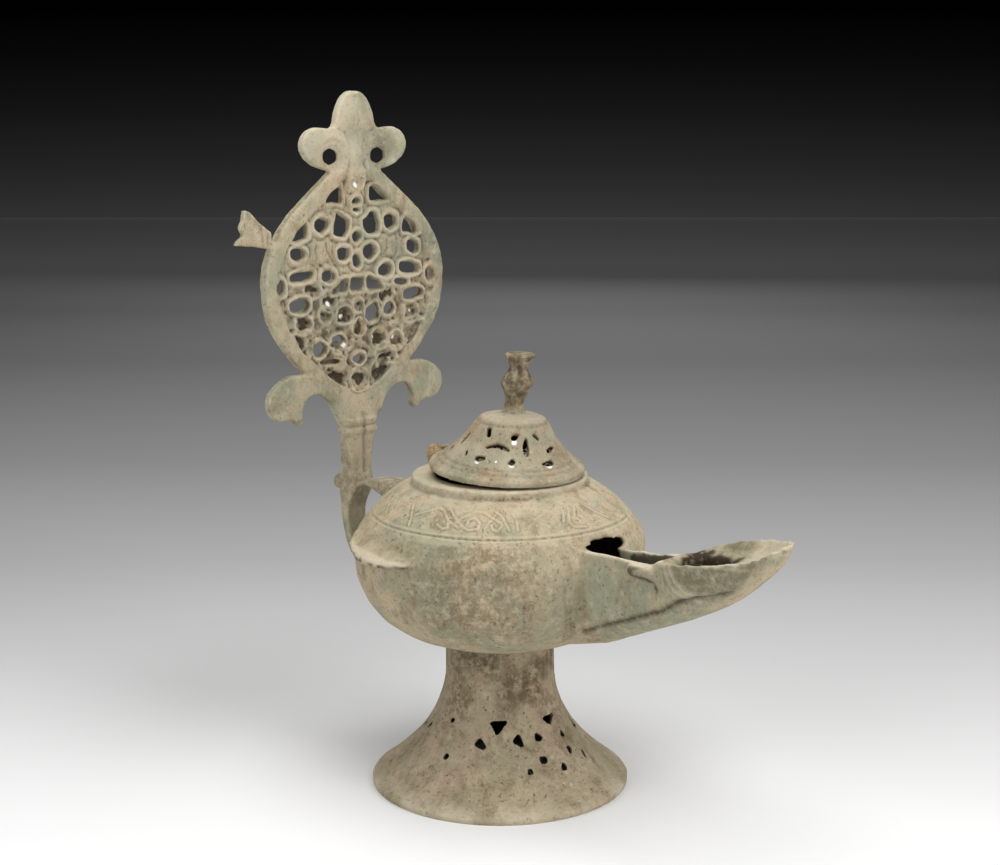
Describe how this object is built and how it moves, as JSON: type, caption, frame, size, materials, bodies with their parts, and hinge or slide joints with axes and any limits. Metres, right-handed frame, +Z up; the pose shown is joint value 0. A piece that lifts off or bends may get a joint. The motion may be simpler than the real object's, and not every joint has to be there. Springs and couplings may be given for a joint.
{
  "type": "oil lamp",
  "caption": "Footed bronze oil lamp with a squat bowl, boat-shaped spout, pierced trumpet foot, hinged pierced lid with a baluster knob, and upright openwork handle.",
  "frame": {"origin": "on the standing surface under the foot, in the middle of the lamp's length and width", "axes": "+Z up, +X from the handle toward the spout's tip, +Y to the lamp's left seen from the handle"},
  "size_m": [0.1942, 0.1012, 0.2227],
  "materials": {
    "foot_bronze": "matt brown and grey-green patina, pitted",
    "bowl_bronze": "matt pale grey-green patina with dark specks",
    "handle_bronze": "matt pale patina, dark earth in the openings",
    "rusted_pin": "rough brown rust",
    "lid_bronze": "matt pale buff patina"
  },
  "bodies": {
    "lamp": {"foot": "foot_bronze", "bowl": "bowl_bronze", "handle": "handle_bronze", "hinge_pin": "rusted_pin"},
    "lid": {"lid": "lid_bronze"}
  },
  "joints": [
    {"name": "lid_hinge", "type": "hinge", "parent": "lamp", "child": "lid", "pos_m": [-0.0418, 0, 0.1054], "axis": [0, -1, 0], "range_deg": [0, 100]}
  ]
}
